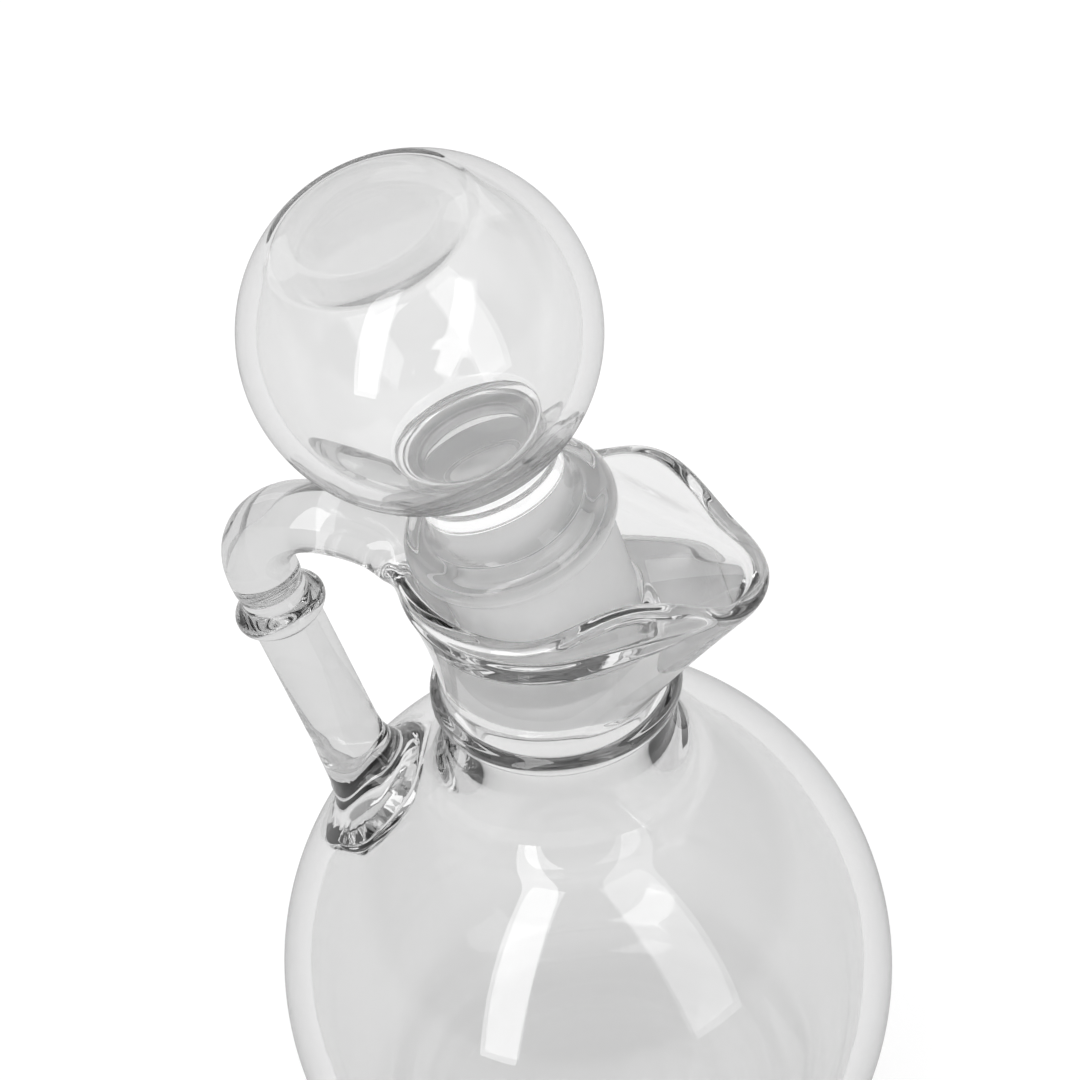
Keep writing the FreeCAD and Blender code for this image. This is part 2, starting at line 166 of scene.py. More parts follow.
def thinned(grid):
    """Indices of the stations kept: closer where any column turns."""
    step = np.diff(grid, axis=1)
    length = np.linalg.norm(step, axis=2)
    unit = step / np.maximum(length[..., None], 1e-9)
    cosine = np.clip((unit[:, 1:] * unit[:, :-1]).sum(2), -1, 1)
    turn = np.arccos(cosine)
    need = length.max(0) / MAX_STEP
    need[1:] += turn.max(0) / MAX_TURN
    along = np.concatenate([[0], np.cumsum(need)])
    count = int(along[-1]) + 2
    picks = np.searchsorted(along, np.linspace(0, along[-1], count))
    return np.unique(np.clip(picks, 0, grid.shape[1] - 1))


# ---- bottle -------------------------------------------------------------------------------------
def shoulder_height(radius, inset):
    """Height of the upper belly, an ellipse, at that radius and that deep in the wall."""
    a, b = BODY_RADIUS - inset, SHOULDER_RISE - inset
    return BELLY_HEIGHT + b * math.sqrt(1 - (radius / a) ** 2)


def shoulder_slope(radius, inset):
    """Its rise per millimetre outward, there."""
    a, b = BODY_RADIUS - inset, SHOULDER_RISE - inset
    return -b * radius / (a * a * math.sqrt(1 - (radius / a) ** 2))


def shoulder_run(inset, top_radius):
    """Upper belly from its widest ring to top_radius, at the fine step."""
    a, b = BODY_RADIUS - inset, SHOULDER_RISE - inset
    angles = np.linspace(0, math.acos(top_radius / a), int(a / FINE))
    return np.stack([a * np.cos(angles), BELLY_HEIGHT + b * np.sin(angles)], 1)


def lower_runs(inset, floor, heel):
    """Heel and lower wall, and the radius at which the flat floor ends."""
    bow = FLANK_RADIUS - inset
    centre_x = BODY_RADIUS - inset - bow
    heel_z = floor + heel
    reach = math.sqrt((bow - heel) ** 2 - (heel_z - BELLY_HEIGHT) ** 2)
    heel_x = centre_x + reach
    angle = math.atan2(heel_z - BELLY_HEIGHT, reach)
    return [circle_run((heel_x, heel_z), heel, -pi / 2, angle),
            circle_run((centre_x, BELLY_HEIGHT), bow, angle, 0)], heel_x


def outer_profile():
    """From the middle of the base, out and up to the foot of the spout."""
    lower, foot = lower_runs(0, 0, HEEL_RADIUS)
    kick = foot - STAND_WIDTH
    bow = (kick ** 2 + KICK_DEPTH ** 2) / (2 * KICK_DEPTH)
    half = math.asin(kick / bow)
    runs = [circle_run((0, KICK_DEPTH - bow), bow, pi / 2, pi / 2 - half),
            straight_run((kick, 0), (foot, 0))] + lower
    low, high = RING_HEIGHT - BEAD_RADIUS, RING_HEIGHT + BEAD_RADIUS
    blend = (SHOULDER_BLEND, shoulder_height(SHOULDER_BLEND, 0))
    runs += [shoulder_run(0, SHOULDER_BLEND),
             hermite_run(blend, (-1, -shoulder_slope(SHOULDER_BLEND, 0)),
                         (NECK_RADIUS, low), (0, 1)),
             circle_run((NECK_RADIUS, RING_HEIGHT), BEAD_RADIUS, -pi / 2, pi / 2),
             straight_run((NECK_RADIUS, high), (NECK_RADIUS, RING_HEIGHT + SPOUT_ROOT))]
    return evened(joined(runs))


def inner_profile():
    """From the top of the bore down to the middle of the floor inside."""
    lower, floor_radius = lower_runs(BODY_WALL, BASE_THICKNESS, INNER_HEEL)
    blend_radius = SHOULDER_BLEND - BODY_WALL
    blend = (blend_radius, shoulder_height(blend_radius, BODY_WALL))
    throat = (BORE_BOTTOM_RADIUS + THROAT_WIDENING, RING_HEIGHT + BORE_BOTTOM - THROAT_DEPTH)
    edge = (BORE_BOTTOM_RADIUS, RING_HEIGHT + BORE_BOTTOM)
    runs = [straight_run((0, BASE_THICKNESS), (floor_radius, BASE_THICKNESS))] + lower
    runs += [shoulder_run(BODY_WALL, blend_radius),
             hermite_run(blend, (-1, -shoulder_slope(blend_radius, BODY_WALL)), throat, (0, 1)),
             hermite_run(throat, (0, 1), edge, (-1, 0.6)),
             straight_run(edge, (BORE_TOP_RADIUS, RING_HEIGHT + BORE_TOP))]
    return evened(joined(runs))[::-1]


def teardrop(angle, side, reach, nose):
    """Plan radius of the mouth: a circle and a nose drawn out to reach, with straight flanks."""
    angle = np.abs(angle)
    nose = np.minimum(nose, side)
    centre = np.maximum(reach - nose, 1e-6)
    touch = np.arccos(np.clip((side - nose) / centre, -1, 1))
    touch_nose = np.arctan2(nose * np.sin(touch), centre + nose * np.cos(touch))
    flank = side / np.cos(np.minimum(np.abs(angle - touch), 1.5))
    tip = centre * np.cos(angle) + np.sqrt(np.maximum(nose ** 2 - (centre * np.sin(angle)) ** 2, 0))
    drawn = np.where(angle >= touch, side, np.where(angle >= touch_nose, flank, tip))
    return np.where(reach - nose < 1e-5, side, drawn)


def wing_spread(height):
    """How far the raised crests lean outward."""
    return WING_FLARE * np.maximum(height - MOUTH_HEIGHT, 0)


def lip_rise(along):
    """Rise of the rim over the mouth at that distance toward the spout."""
    up = WING_RISE * (1 - np.cos(pi * np.clip(along / WING_PLACE, 0, 1))) / 2
    share = np.clip((along - WING_PLACE) / (SPOUT_REACH - WING_PLACE), 0, 1)
    down = WING_RISE + (-SPOUT_TIP_DROP - WING_RISE) * (1 - np.cos(pi * share)) / 2
    return np.where(along <= WING_PLACE, up, down)


def outside_radius(angle, height):
    """Outer surface of the lip and spout; height is above the neck bead."""
    outer = LIP_RADIUS + LIP_THICKNESS / 2
    tip = SPOUT_REACH + LIP_THICKNESS / 2
    flare = np.clip((height - SPOUT_ROOT) / (TIP_HEIGHT - SPOUT_ROOT), 0, 1)
    side = NECK_RADIUS + (outer - NECK_RADIUS) * (flare + 2 * flare ** 2) / 3 + wing_spread(height)
    reach = side + (tip - outer) * flare
    nose = side + (SPOUT_NOSE + LIP_THICKNESS / 2 - side) * flare
    return teardrop(angle, side, reach, nose)


def inside_radius(angle, height):
    """Inner surface of the funnel and spout."""
    inner = LIP_RADIUS - LIP_THICKNESS / 2
    tip = SPOUT_REACH - LIP_THICKNESS / 2
    flare = np.clip((height - BORE_TOP) / (TIP_HEIGHT - BORE_TOP), 0, 1)
    side = BORE_TOP_RADIUS + (inner - BORE_TOP_RADIUS) * flare + wing_spread(height)
    reach = side + (tip - inner) * flare
    nose = side + (SPOUT_NOSE - LIP_THICKNESS / 2 - side) * flare
    return teardrop(angle, side, reach, nose)


def rim_line(angle):
    """Middle line of the lip: points in plan, outward normals and the height of the rim's top."""
    height = np.full_like(angle, MOUTH_HEIGHT + LIP_THICKNESS / 2)
    for _ in range(4):
        side = LIP_RADIUS + wing_spread(height - LIP_THICKNESS / 2)
        radius = teardrop(angle, side, side + SPOUT_REACH - LIP_RADIUS, SPOUT_NOSE)
        middle = np.stack([radius * np.cos(angle), radius * np.sin(angle)], 1)
        height = MOUTH_HEIGHT + LIP_THICKNESS / 2 + lip_rise(middle[:, 0])
    step = np.roll(middle, -1, 0) - np.roll(middle, 1, 0)
    normal = np.stack([step[:, 1], -step[:, 0]], 1)
    return middle, normal / np.linalg.norm(normal, axis=1, keepdims=True), height


LIP_OUTSIDE, LIP_CREST, LIP_INSIDE = 150, 34, 90    # stations of the lip
LIP_SQUARENESS = 2.5        # of the rim's section: 2 is round


def wrapped(angles):
    """The same angles between -pi and pi."""
    return (angles + pi) % (2 * pi) - pi


def walled(base, edge, low, high, share, radius_at):
    """Columns of a wall of the lip that turn from the base's angles to the rim's edge."""
    heights = low + (high[:, None] - low) * share
    angles = base[:, None] + (edge - base)[:, None] * share
    radius = radius_at(wrapped(angles), heights)
    return np.stack([radius * np.cos(angles), radius * np.sin(angles), heights], 2)


def lip_grid(angle):
    """Columns of the lip from the spout's foot, over the rim, to the top of the bore."""
    middle, normal, top = rim_line(angle)
    cap = LIP_THICKNESS / 2
    shoulder = top - cap
    base = np.unwrap(angle)
    edge = {}
    for sign in (1, -1):
        point = middle + sign * cap * normal
        found = np.unwrap(np.arctan2(point[:, 1], point[:, 0]))
        edge[sign] = base + wrapped(found - base)
    outside = walled(base, edge[1], SPOUT_ROOT, shoulder,
                     np.linspace(0, 1, LIP_OUTSIDE), outside_radius)
    turn = np.linspace(0, pi, LIP_CREST)[1:-1]
    power = 2 / LIP_SQUARENESS
    across = np.sign(np.cos(turn)) * np.abs(np.cos(turn)) ** power * cap
    rise = np.sin(turn) ** power * cap
    plan = middle[:, None, :] + normal[:, None, :] * across[None, :, None]
    crest = np.concatenate([plan, (shoulder[:, None] + rise)[:, :, None]], 2)
    inside = walled(base, edge[-1], BORE_TOP, shoulder,
                    np.linspace(1, 0, LIP_INSIDE), inside_radius)
    grid = np.concatenate([outside, crest, inside], 1)
    grid[:, :, 2] += RING_HEIGHT
    return grid


def bottle_grid():
    """Bottle without its handle, and one fine column of it.

    The grid is columns by stations by xyz, from the middle of the base to the middle of the floor
    inside.
    """
    angle = np.linspace(-pi, pi, COLUMNS, endpoint=False) + pi / COLUMNS
    lip = lip_grid(angle)
    for _ in range(2):      # evens the lip round the mouth
        lip = (np.roll(lip, 1, 0) + 2 * lip + np.roll(lip, -1, 0)) / 4
    outer, inner = lathed(outer_profile(), angle), lathed(inner_profile(), angle)
    grid = np.concatenate([outer[:, :-1], lip, inner[:, 1:]], 1)
    soft = softened(grid, BOTTLE_SOFT)
    return soft[:, thinned(soft)], soft[0]


def sheet_mesh(name, grid):
    """Closed mesh from a grid of columns whose first and last stations lie on the axis."""
    columns, stations = grid.shape[:2]
    inner = grid[:, 1:-1].transpose(1, 0, 2).reshape(-1, 3)
    first, last = grid[:, 0].mean(0), grid[:, -1].mean(0)
    points = np.concatenate([inner, [first], [last]])
    rows = stations - 2
    faces = []
    for row in range(rows - 1):
        for column in range(columns):
            after = (column + 1) % columns
            faces.append((row * columns + column, row * columns + after,
                          (row + 1) * columns + after, (row + 1) * columns + column))
    low, high = len(points) - 2, len(points) - 1
    for column in range(columns):
        after = (column + 1) % columns
        faces.append((low, after, column))
        faces.append((high, (rows - 1) * columns + column, (rows - 1) * columns + after))
    mesh = bpy.data.meshes.new(name)
    mesh.from_pydata((points * MM).tolist(), [], faces)
    mesh.update()
    return mesh


# ---- handle -------------------------------------------------------------------------------------
ROOT_START = 16.6           # the rod's own surface starts here, inside the glass of the lip
ROOT_CAP, CAP_LIFTS = 2.2, (75, 60, 45, 30, 15)     # length of its rounded start, rings in degrees
FOOT_DEPTH = 1.6            # the rod ends this deep in the wall of the shoulder
LINE_SOFT = 0.8             # rounding of the rod's middle line
GROOVE_DEPTH, GROOVE_PLACE, GROOVE_WIDTH = 0.35, 2.7, 0.8   # shallow groove above the bead
LEG_FLARE, FLARE_RUN, FLARE_START = 1.0, 14.6, 8.2          # the leg widens toward its foot
ROD_STEP, BEAD_STEP = 0.7, 0.16     # between rings of the rod, and round its bead
BEAD_ABOVE, BEAD_BELOW = 4.2, 2.4   # how far the closer rings reach
BEAD_MARGIN = 0.2           # least gap from them to the others
RADIUS_STEP, RADIUS_WINDOW = 0.05, 19       # the rod's radius is averaged over that many steps
FOOT_OVERLAP, FOOT_RINGS = 9, 14    # rings laid anew where the leg meets the shoulder
FILLET = 4.5                # reach of the rounding where the arm joins the lip
FOOT_FILLET = 2.6           # the same round the leg's foot
WEB_FILLET = 6.0            # the same between the leg's foot and the neck
WEB_START, WEB_RUN = 2, 5   # it starts this far outward of the foot, full that much farther in
LEG_START, LEG_RUN = 2, 6   # the foot's sizes start this far above the neck bead, full below that


def handle_line():
    """Middle line of the rod in the XZ plane, the place of its bead on it, and its length."""
    root = (-ARM_ROOT_RADIUS, HANDLE_TOP - ARM_ROOT_DROP + RING_HEIGHT)
    centre = np.array([-(HANDLE_REACH - HANDLE_BEND), HANDLE_TOP - HANDLE_BEND + RING_HEIGHT])
    foot = np.array([-LEG_FOOT_RADIUS, shoulder_height(LEG_FOOT_RADIUS, 0)])
    to_foot = foot - centre
    slant = math.atan2(to_foot[0], -to_foot[1]) + math.asin(HANDLE_BEND / np.linalg.norm(to_foot))
    arm = hermite_run(root, (-1, 2 * ARM_ROOT_DROP / (root[0] - centre[0])),
                      (centre[0], centre[1] + HANDLE_BEND), (-1, 0))
    bend = circle_run(centre, HANDLE_BEND, pi / 2, pi + slant)
    elbow = bend[-1]
    line = evened(joined([arm, bend, straight_run(elbow, foot)]))
    line = softened(line[line[:, 0] <= -ROOT_START], LINE_SOFT)
    leg_length = np.linalg.norm(foot - elbow)
    bead = (elbow[1] - RING_HEIGHT - HANDLE_RING_HEIGHT) / math.cos(slant)
    total = np.linalg.norm(np.diff(line, axis=0), axis=1).sum()
    return line, total - leg_length + bead, total


def rod_radius(along, bead_place, total):
    """Radius of the rod, with a bead on the leg, a shallow groove above it and a wider foot."""
    away = along - bead_place
    bump = HANDLE_BEAD * np.sqrt(np.maximum(1 - (away / HANDLE_BEAD) ** 2, 0))
    groove = GROOVE_DEPTH * np.exp(-((away + GROOVE_PLACE) / GROOVE_WIDTH) ** 2)
    flare = LEG_FLARE * np.clip((along - total + FLARE_START) / FLARE_RUN, 0, 1.5)
    return HANDLE_RADIUS + bump - groove + flare


def shoulder_travel(points, way):
    """How far each point travels down its way to meet the ellipsoid inside the shoulder's wall."""
    a, b = BODY_RADIUS - FOOT_DEPTH, SHOULDER_RISE - FOOT_DEPTH
    up = points[:, 2] - BELLY_HEIGHT
    square = (way[0] / a) ** 2 + (way[1] / b) ** 2
    single = 2 * (points[:, 0] * way[0] / a ** 2 + up * way[1] / b ** 2)
    constant = (points[:, 0] ** 2 + points[:, 1] ** 2) / a ** 2 + (up / b) ** 2 - 1
    return (-single - np.sqrt(single ** 2 - 4 * square * constant)) / (2 * square)


def rod_grid():
    """Columns of the closed rod, whose two ends lie inside the glass of the bottle."""
    line, bead_place, total = handle_line()
    lengths = np.concatenate([[0], np.cumsum(np.linalg.norm(np.diff(line, axis=0), axis=1))])
    plain = np.arange(0, total, ROD_STEP)
    dense = np.arange(bead_place - BEAD_ABOVE, bead_place + BEAD_BELOW, BEAD_STEP)
    apart = (plain < dense[0] - BEAD_MARGIN) | (plain > dense[-1] + BEAD_MARGIN)
    stops = np.unique(np.concatenate([plain[apart], dense]))
    turn = np.linspace(0, 2 * pi, ROD_SIDES, endpoint=False)
    fine = np.arange(0, total, RADIUS_STEP)
    padded = np.pad(rod_radius(fine, bead_place, total), RADIUS_WINDOW // 2, mode="edge")
    fine_radius = np.convolve(padded, np.ones(RADIUS_WINDOW) / RADIUS_WINDOW, "valid")

    def ring(centre, tangent, radius):
        side = np.array([-tangent[1], tangent[0]])
        x = centre[0] + radius * np.cos(turn) * side[0]
        z = centre[1] + radius * np.cos(turn) * side[1]
        return np.stack([x, radius * np.sin(turn), z], 1)

    def at(place):
        """Point of the middle line, and the way it runs there."""
        centre, ahead, behind = (np.array([np.interp(q, lengths, line[:, k]) for k in (0, 1)])
                                 for q in (place, place + 0.1, place - 0.1))
        return centre, (ahead - behind) / np.linalg.norm(ahead - behind)

    rings = []
    start, start_way = at(0.1)
    for lift in np.radians(CAP_LIFTS):
        rings.append(ring(start - start_way * ROOT_CAP * math.sin(lift), start_way,
                          HANDLE_RADIUS * math.cos(lift)))
    for place in stops:
        centre, way = at(place)
        rings.append(ring(centre, way, np.interp(place, fine, fine_radius)))
    way = at(total - 1)[1]
    down = np.array([way[0], 0, way[1]])
    last, base = rings[-1], rings[-FOOT_OVERLAP]
    drift = last - base
    span = drift @ down + shoulder_travel(last, way)
    widening = drift - (drift @ down)[:, None] * down
    rings = rings[:-FOOT_OVERLAP + 1]
    for step in range(1, FOOT_RINGS + 1):
        share = step / FOOT_RINGS
        rings.append(base + down * (span * share)[:, None] + widening * share)
    grid = np.stack(rings, 1)
    tip = start - start_way * ROOT_CAP
    first = np.repeat(np.array([[[tip[0], 0, tip[1]]]]), ROD_SIDES, 0)
    end = np.repeat(grid[:, -1:].mean(0, keepdims=True), ROD_SIDES, 0)
    return np.concatenate([first, grid, end], 1)


def line_distance(points, line, skip=8):
    """Distance of 2-D points from a fine open line, and the nearest place along it.

    The distance is positive on the line's right. Every skip-th point of the line is tried first.
    """
    a, d = line[:-1], np.diff(line, axis=0)
    size = (d ** 2).sum(1)
    lengths = np.concatenate([[0], np.cumsum(np.sqrt(size))])
    coarse = line[::skip]
    nearest = ((points[:, None, 0] - coarse[:, 0]) ** 2
               + (points[:, None, 1] - coarse[:, 1]) ** 2).argmin(1)
    window = (nearest[:, None] * skip + np.arange(-skip - 2, skip + 3)).clip(0, len(a) - 1)
    px, pz = points[:, None, 0] - a[window, 0], points[:, None, 1] - a[window, 1]
    dx, dz = d[window, 0], d[window, 1]
    t = ((px * dx + pz * dz) / size[window]).clip(0, 1)
    px, pz = px - t * dx, pz - t * dz
    square = px ** 2 + pz ** 2
    row = np.arange(len(points))
    best = square.argmin(1)
    cross = (dx * pz - dz * px)[row, best]
    found = window[row, best]
    away = np.sqrt(square[row, best]) * np.where(cross > 0, -1, 1)
    return away, lengths[found] + t[row, best] * np.sqrt(size[found])


PROFILE_LOW, PROFILE_INNER = 46, 10.5       # the handle meets the bottle above and outside these
LINE_TAIL, LINE_BEYOND = 40, 12     # the rod's line runs on past its foot, the way its tail points
NEAR_SIDE, NEAR_WIDTH, NEAR_LOW = 9, 12, 44     # the joins lie in this part of the bottle
NEAR_INSIDE, NEAR_OUTSIDE = 0.5, 1.1        # drawn points: depth in mm, share of the reach
MERGE = 0.02                # points closer than this become one
SHORT_EDGE = 0.75           # edges near the joins are split down to about this length
SLOPE_STEP = 0.02           # for the gradient
SPREADS, DRAWS = 6, 8       # rounds that even out the points, and that draw them to the surface
SPREAD_SHARE, LEAST_SLOPE, LONGEST_MOVE = 0.5, 0.05, 0.8


class Join:
    """The blended surface of the bottle and its handle, as a function that is zero on it."""

    def __init__(self, column):
        radius = np.hypot(column[:, 0], column[:, 1])
        keep = (column[:, 2] > PROFILE_LOW) & (radius > PROFILE_INNER)
        profile = np.stack([radius, column[:, 2]], 1)
        self.profile = profile[keep.argmax():len(keep) - keep[::-1].argmax()]
        line, self.bead, self.total = handle_line()
        way = line[-1] - line[-LINE_TAIL]
        self.line = np.concatenate([line, line[-1:] + way / np.linalg.norm(way) * LINE_BEYOND])
        self.start = line[0]
        self.way = (line[1] - line[0]) / np.linalg.norm(line[1] - line[0])

    def bottle(self, p):
        """Distance outside the bottle."""
        flat = np.stack([np.hypot(p[:, 0], p[:, 1]), p[:, 2]], 1)
        return line_distance(flat, self.profile)[0]

    def rod(self, p):
        """Distance outside the rod."""
        plan = p[:, [0, 2]]
        gap, place = line_distance(plan, self.line)
        before = (plan - self.start) @ self.way
        across = (plan - self.start) @ np.array([-self.way[1], self.way[0]])
        cap = np.sqrt((before * HANDLE_RADIUS / ROOT_CAP) ** 2 + across ** 2 + p[:, 1] ** 2)
        away = np.hypot(gap, p[:, 1])
        at_start = (before < 0) & (place < HANDLE_RADIUS)
        return np.where(at_start, cap, away) - rod_radius(place, self.bead, self.total)

    def reach(self, p):
        """Reach of the rounding: at the foot of the leg it is wider on the side toward the neck."""
        inward = np.clip((p[:, 0] + LEG_FOOT_RADIUS + WEB_START) / WEB_RUN, 0, 1)
        low = np.clip((RING_HEIGHT + LEG_START - p[:, 2]) / LEG_RUN, 0, 1)
        foot = FOOT_FILLET + (WEB_FILLET - FOOT_FILLET) * inward ** 2 * (3 - 2 * inward)
        return FILLET + (foot - FILLET) * low ** 2 * (3 - 2 * low)

    def value(self, p):
        """Distance outside the blended surface."""
        a, b = self.bottle(p), self.rod(p)
        reach = self.reach(p)
        mix = np.maximum(reach - np.abs(a - b), 0) / reach
        return np.minimum(a, b) - mix ** 2 * reach / 4

    def slope(self, p):
        """Gradient of that distance."""
        out = np.empty_like(p)
        for k in range(3):
            step = np.zeros(3)
            step[k] = SLOPE_STEP
            out[:, k] = (self.value(p + step) - self.value(p - step)) / (2 * SLOPE_STEP)
        return out

    def near(self, p):
        """Which points lie on or close outside both surfaces, where the join is rounded."""
        side = (p[:, 0] < -NEAR_SIDE) & (np.abs(p[:, 1]) < NEAR_WIDTH) & (p[:, 2] > NEAR_LOW)
        found = np.zeros(len(p), bool)
        index = np.flatnonzero(side)
        a, b = self.bottle(p[index]), self.rod(p[index])
        reach = NEAR_OUTSIDE * self.reach(p[index])
        found[index] = (a > -NEAR_INSIDE) & (a < reach) & (b > -NEAR_INSIDE) & (b < reach)
        return found


def vertex_places(bm):
    return np.array([vertex.co for vertex in bm.verts]) / MM


def renumbered(mesh):
    """The same mesh with its points in a fixed order, which a union leaves to chance."""
    places = np.array([vertex.co for vertex in mesh.vertices])
    order = np.lexsort(places.T)
    number = np.empty(len(order), int)
    number[order] = np.arange(len(order))
    faces = [number[list(face.vertices)].tolist() for face in mesh.polygons]
    made = bpy.data.meshes.new(mesh.name)
    made.from_pydata(places[order].tolist(), [], faces)
    made.update()
    bpy.data.meshes.remove(mesh)
    return made


def united(bottle):
    """Mesh of the bottle and its rod in one."""
    rod = bpy.data.objects.new("rod", sheet_mesh("rod", rod_grid()))
    bpy.context.scene.collection.objects.link(rod)
    modifier = bottle.modifiers.new("rod", "BOOLEAN")
    modifier.operation, modifier.solver, modifier.object = "UNION", "EXACT", rod
    bpy.context.view_layer.update()
    shown = bottle.evaluated_get(bpy.context.evaluated_depsgraph_get())
    made = renumbered(bpy.data.meshes.new_from_object(shown))
    bottle.modifiers.clear()
    bpy.data.objects.remove(rod)
    return made


def split_near(bm, join):
    """Splits the long edges near the joins twice."""
    for _ in range(2):
        zone = join.near(vertex_places(bm))
        bm.verts.index_update()
        long = [edge for edge in bm.edges
                if zone[edge.verts[0].index] and zone[edge.verts[1].index]
                and edge.calc_length() > SHORT_EDGE * MM]
        bmesh.ops.subdivide_edges(bm, edges=long, cuts=1)
        bmesh.ops.triangulate(bm, faces=[face for face in bm.faces if len(face.verts) > 4])


def draw_to(bm, join, places, zone):
    """Moves the points of the zone onto the blended surface, spreading them evenly at first."""
    ends = np.array([[edge.verts[0].index, edge.verts[1].index] for edge in bm.edges])
    for turn in range(DRAWS):
        if turn < SPREADS:
            total, count = np.zeros_like(places), np.zeros(len(places))
            np.add.at(total, ends[:, 0], places[ends[:, 1]])
            np.add.at(total, ends[:, 1], places[ends[:, 0]])
            np.add.at(count, ends.ravel(), 1)
            way = join.slope(places[zone])
            way /= np.linalg.norm(way, axis=1, keepdims=True)
            move = total[zone] / count[zone][:, None] - places[zone]
            places[zone] += SPREAD_SHARE * (move - (move * way).sum(1, keepdims=True) * way)
        way = join.slope(places[zone])
        square = np.maximum((way ** 2).sum(1), LEAST_SLOPE)
        away = np.clip(join.value(places[zone]) / square, -LONGEST_MOVE, LONGEST_MOVE)
        places[zone] -= away[:, None] * way


def add_handle(bottle, column):
    """Unites the rod with the bottle and rounds the joins."""
    made = united(bottle)
    join = Join(column)
    bm = bmesh.new()
    bm.from_mesh(made)
    bmesh.ops.remove_doubles(bm, verts=bm.verts, dist=MERGE * MM)
    split_near(bm, join)
    bm.verts.index_update()
    places = vertex_places(bm)
    zone = np.flatnonzero(join.near(places))
    draw_to(bm, join, places, zone)
    for vertex, place in zip(bm.verts, places * MM):
        vertex.co = place
    bmesh.ops.triangulate(bm, faces=[face for face in bm.faces if len(face.verts) > 4])
    bm.normal_update()
    normals = np.array([vertex.normal for vertex in bm.verts])
    way = join.slope(places[zone])
    normals[zone] = way / np.linalg.norm(way, axis=1, keepdims=True)
    bm.to_mesh(made)
    bm.free()
    bottle.data = made
    made.polygons.foreach_set("use_smooth", [True] * len(made.polygons))
    made.normals_split_custom_set_from_vertices(normals.tolist())
    return join


# ---- stopper ------------------------------------------------------------------------------------
STOPPER_SOFT = 0.22         # rounding of the stopper's corners
CROWN_SOFT = 0.3            # of the corners of its crown
HOLLOW_SOFT = 0.6           # of the corner of the hollow inside it
CROWN_TAIL = 90             # points of the ball rounded together with the crown
WAIST_SLOPE = 1.2           # rise over run where the waist meets the collar and the ball


def stopper_outside():
    """Profile from the pilot's end, up over plug, collar, waist and ball, to the crown's middle."""
    ball_foot = (WAIST_TOP_RADIUS, WAIST_TOP)
    collar_top = COLLAR_LOW + COLLAR_THICKNESS
    waist_foot = (WAIST_RADIUS + WAIST_FOOT, collar_top)
    waist_middle = (WAIST_RADIUS, (collar_top + WAIST_TOP) / 2)
    crown_z = BALL_CENTRE + math.sqrt(BALL_RADIUS ** 2 - CROWN_RADIUS ** 2)
    top_z = crown_z + CROWN_RISE
    turn = np.linspace(-pi / 2, pi / 2, 60)
    roll = np.stack([PLUG_TOP_RADIUS + (COLLAR_RADIUS - PLUG_TOP_RADIUS) * np.cos(turn),
                     COLLAR_MIDDLE + COLLAR_THICKNESS / 2 * np.sin(turn)], 1)
    round_radius = PILOT_RADIUS - PILOT_ROUND
    runs = [straight_run((0, 0), (round_radius, 0)),
            circle_run((round_radius, PILOT_ROUND), PILOT_ROUND, -pi / 2, 0),
            straight_run((PILOT_RADIUS, PILOT_ROUND), (PILOT_RADIUS, PLUG_FOOT)),
            straight_run((PILOT_RADIUS, PLUG_FOOT), (PLUG_FOOT_RADIUS, PLUG_FOOT)),
            straight_run((PLUG_FOOT_RADIUS, PLUG_FOOT), (PLUG_TOP_RADIUS, COLLAR_LOW)),
            roll,
            straight_run((PLUG_TOP_RADIUS, collar_top), waist_foot),
            hermite_run(waist_foot, (-1, WAIST_SLOPE), waist_middle, (0, 1)),
            hermite_run(waist_middle, (0, 1), ball_foot, (1, WAIST_SLOPE)),
            circle_run((0, BALL_CENTRE), BALL_RADIUS,
                       math.atan2(WAIST_TOP - BALL_CENTRE, WAIST_TOP_RADIUS),
                       math.atan2(crown_z - BALL_CENTRE, CROWN_RADIUS))]
    body = softened(evened(joined(runs)), STOPPER_SOFT)
    crown = joined([straight_run((CROWN_RADIUS, crown_z), (CROWN_TOP_RADIUS, top_z)),
                    straight_run((CROWN_TOP_RADIUS, top_z), (0, top_z))])
    top = softened(evened(joined([body[-CROWN_TAIL:], crown])), CROWN_SOFT)
    return np.concatenate([body[:-CROWN_TAIL], top])


def stopper_hollow():
    """The ball's sealed hollow, from the middle of its flat roof down to its lowest point."""
    room = BALL_RADIUS - BALL_WALL
    roof_z = BALL_CENTRE + math.sqrt(BALL_RADIUS ** 2 - CROWN_RADIUS ** 2) - BALL_WALL
    roof_radius = math.sqrt(room ** 2 - (roof_z - BALL_CENTRE) ** 2)
    runs = [straight_run((0, roof_z), (roof_radius, roof_z)),
            circle_run((0, BALL_CENTRE), room,
                       math.atan2(roof_z - BALL_CENTRE, roof_radius), -pi / 2)]
    return softened(evened(joined(runs)), HOLLOW_SOFT)


def seat(lean):
    """Place of the pilot's end, in the plane of the lean, for a stopper caught in the mouth."""
    mouth = RING_HEIGHT + BORE_TOP
    along = PILOT_LENGTH
    end_z = mouth - along
    for _ in range(30):     # the pilot's corner and the plug's flank each depend on the other
        corner_z = end_z + PILOT_ROUND * math.cos(lean) + PILOT_RADIUS * math.sin(lean)
        wall = BORE_TOP_RADIUS - (mouth - corner_z) * BORE_TAPER / 2
        end_x = wall - SEAT_GAP + PILOT_ROUND * math.sin(lean) - PILOT_RADIUS * math.cos(lean)
        flank = PLUG_FOOT_RADIUS + (along - PILOT_LENGTH) * BORE_TAPER / 2
        across = mouth * math.sin(lean) - BORE_TOP_RADIUS * math.cos(lean) + flank + SEAT_GAP
        end_z = (across - end_x * math.cos(lean)) / math.sin(lean)
        along = (BORE_TOP_RADIUS + end_x) * math.sin(lean) + (mouth - end_z) * math.cos(lean)
    return end_x, end_z


